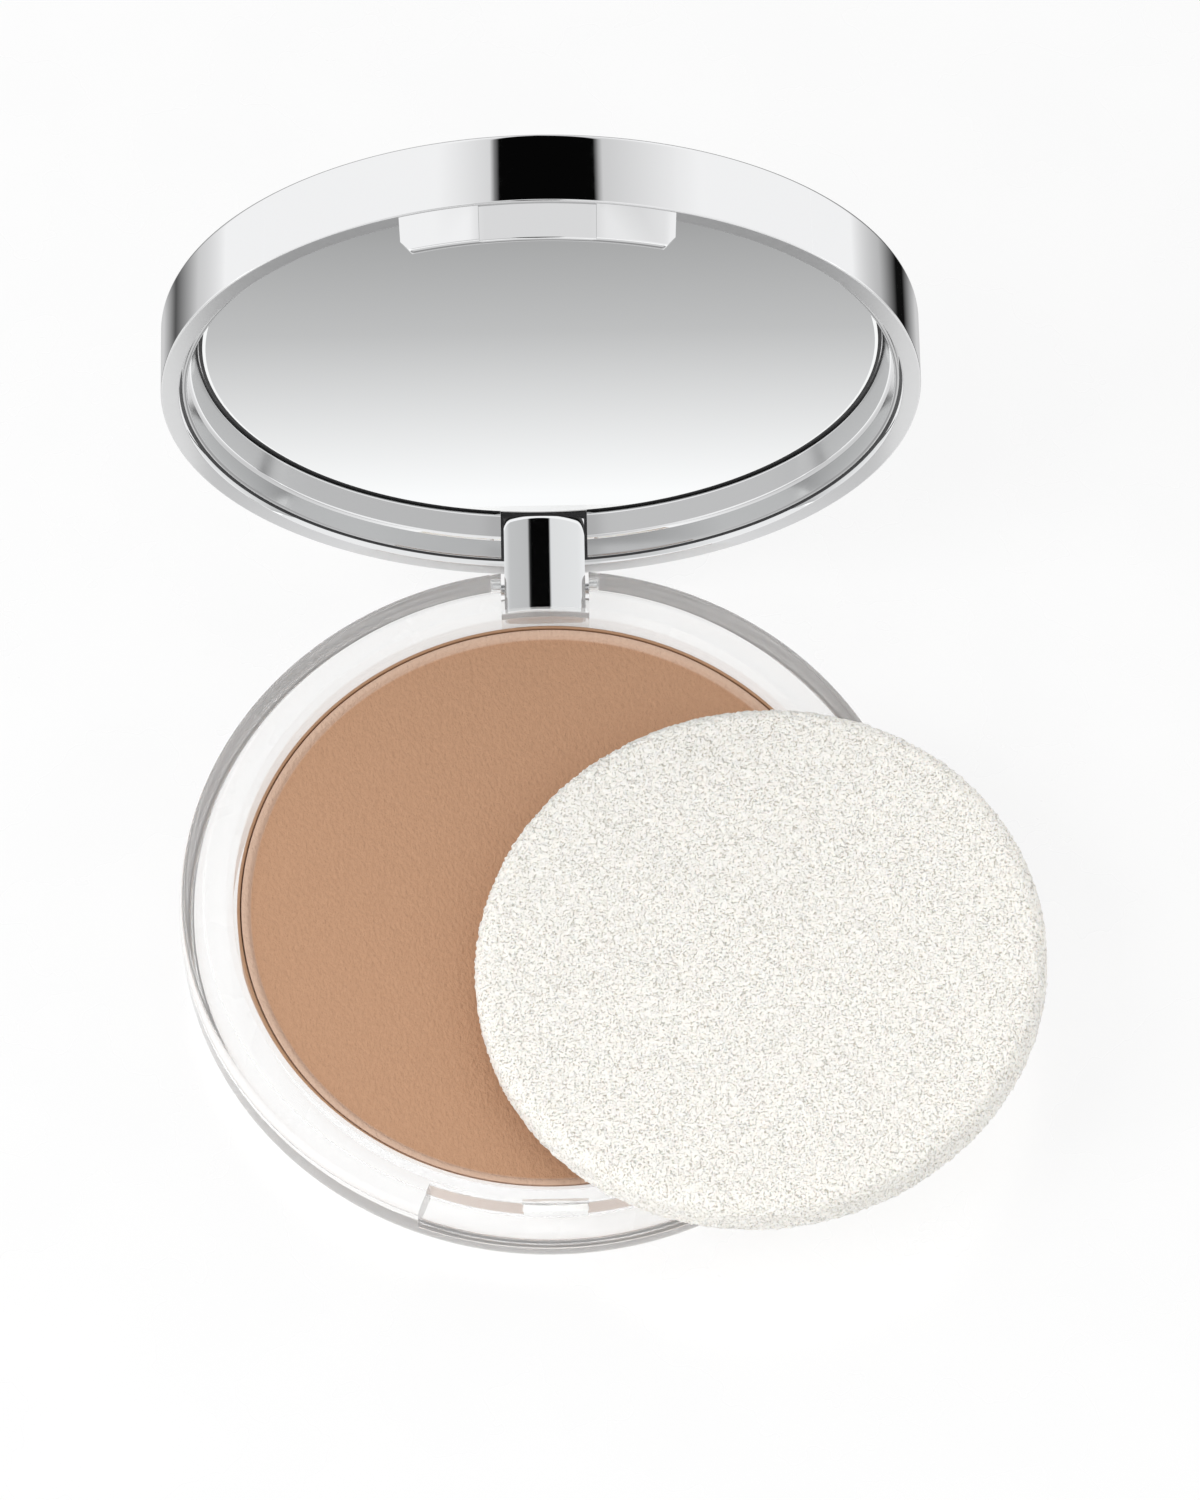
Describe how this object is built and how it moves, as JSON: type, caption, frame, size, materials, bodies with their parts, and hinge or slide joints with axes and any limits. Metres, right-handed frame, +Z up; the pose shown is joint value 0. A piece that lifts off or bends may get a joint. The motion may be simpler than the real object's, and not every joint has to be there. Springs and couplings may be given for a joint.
{
  "type": "powder compact",
  "caption": "Round pressed-powder compact with a clear base, a chromed mirrored lid on a pin hinge and a foam applicator sponge.",
  "frame": {"origin": "centre of the base's flat underside", "axes": "+Z up out of the powder, +Y towards the hinge, -Y towards the catch, +X to the user's right"},
  "size_m": [0.0832, 0.0812, 0.0761],
  "materials": {
    "clear_plastic": "polished clear moulded plastic",
    "label": "satin blank label",
    "catch_plastic": "smooth white",
    "pin_steel": "drawn wire",
    "adhesive": "pale foam tape",
    "pan_metal": "satin pressed sheet",
    "powder": "matte pressed powder with a fine leather-like grain",
    "lid_chrome": "mirror-bright plated plastic",
    "frame_chrome": "mirror-bright plated plastic",
    "mirror": "silvered glass",
    "foam": "fine open-cell cream-white foam"
  },
  "bodies": {
    "base": {"base_shell": "clear_plastic", "base_label": "label", "catch_clip": "catch_plastic", "hinge_pin": "pin_steel", "pan_adhesive": "adhesive", "powder_pan": "pan_metal", "powder_cake": "powder"},
    "lid": {"lid_cap": "lid_chrome", "lid_inner_frame": "frame_chrome", "mirror_glass": "mirror", "mirror_adhesive": "adhesive"},
    "sponge": {"sponge": "foam"}
  },
  "joints": [
    {"name": "lid_hinge", "type": "hinge", "parent": "base", "child": "lid", "pos_m": [0, 0.0343, 0.0058], "axis": [-1, 0, 0], "range_deg": [-90, 0]},
    {"name": "sponge_slide", "type": "slide", "parent": "base", "child": "sponge", "axis": [0.8908, -0.4441, 0.0958], "range_m": [0, 0.05]}
  ],
  "couplings": [
    {"joint": "sponge_slide", "follows": "lid_hinge", "m_per_rad": -0.0318}
  ]
}
